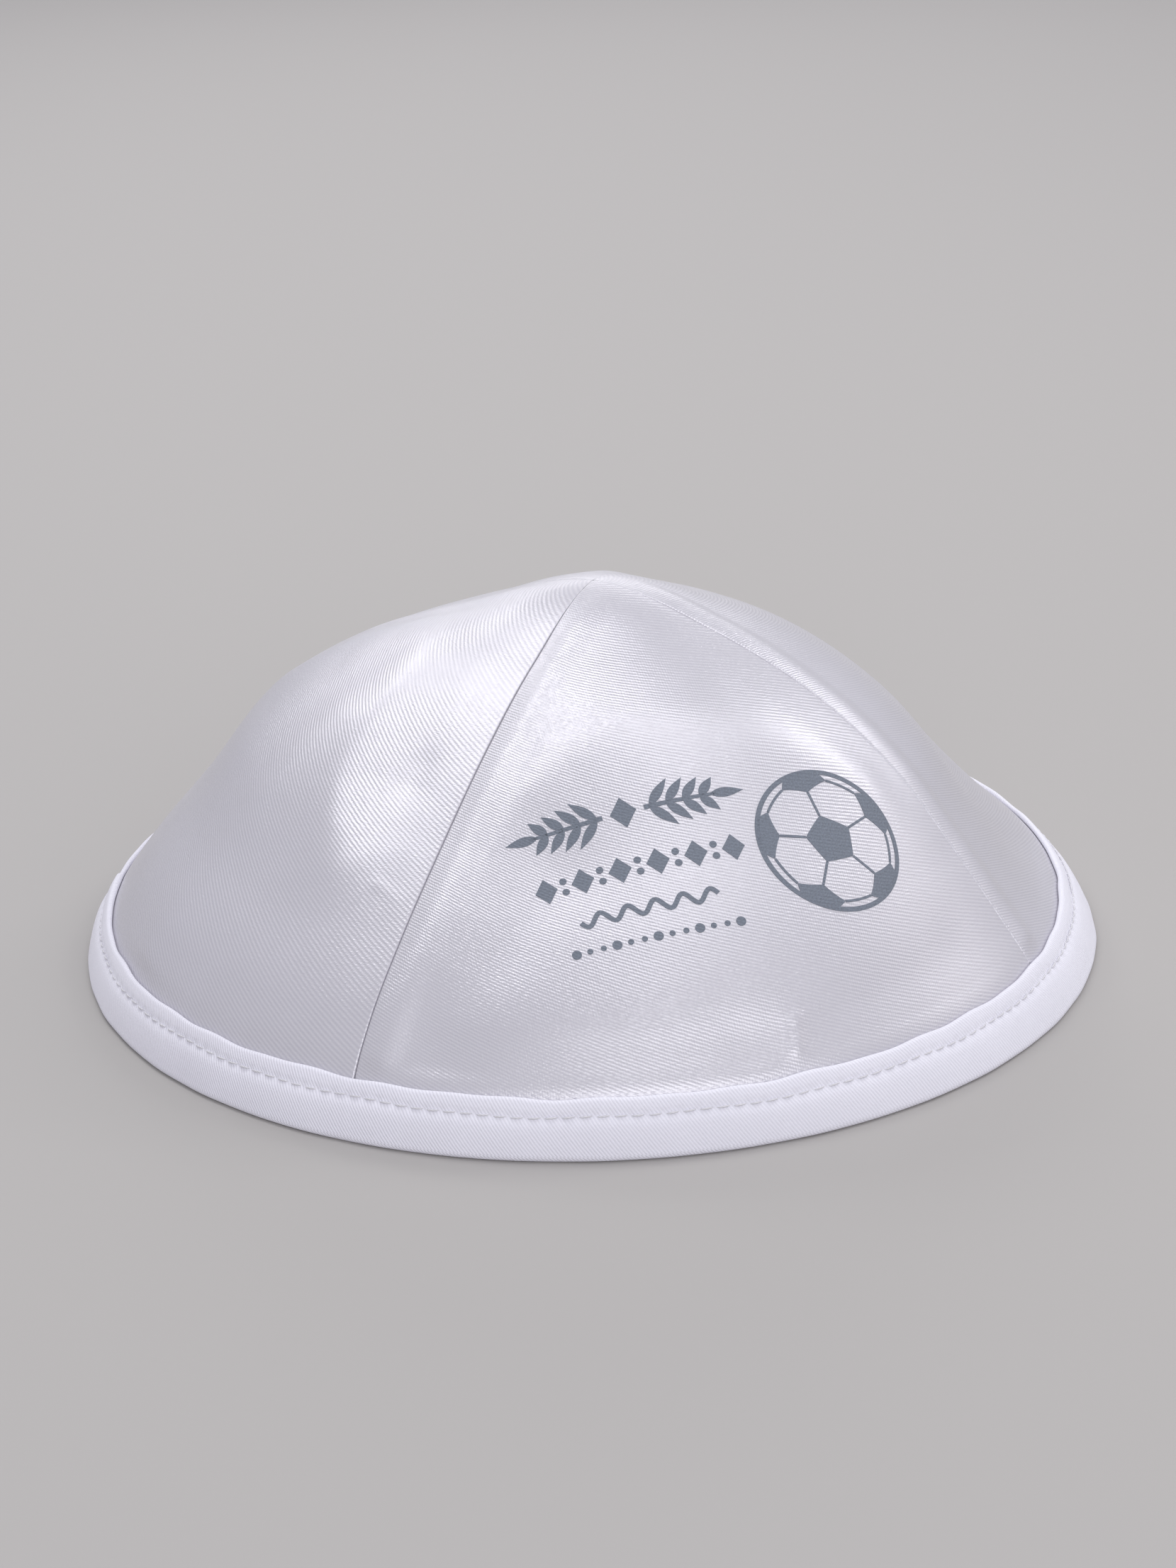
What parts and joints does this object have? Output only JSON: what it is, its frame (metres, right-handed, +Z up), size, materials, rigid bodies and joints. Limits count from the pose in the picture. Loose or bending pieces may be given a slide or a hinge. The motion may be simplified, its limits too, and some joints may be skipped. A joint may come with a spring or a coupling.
{
  "type": "kippah skullcap",
  "caption": "Soft skullcap sewn from satin panels that meet at the crown, its round rim bound with folded twill tape.",
  "frame": {"origin": "centre of the rim, on the surface that the cap rests on", "axes": "+Z up to the crown, -Y towards the front panel, +X to the right of someone who looks at the front"},
  "size_m": [0.1693, 0.1696, 0.0622],
  "materials": {
    "satin": "cool white ribbed satin with a soft sheen",
    "twill_tape": "matt white twill tape",
    "thread": "white sewing thread",
    "print": "slate grey transfer print, slightly glossy"
  },
  "bodies": {
    "root": {"panel_front": "satin", "panel_right": "satin", "panel_rear": "satin", "panel_left": "satin", "edge_binding": "twill_tape"}
  },
  "joints": []
}
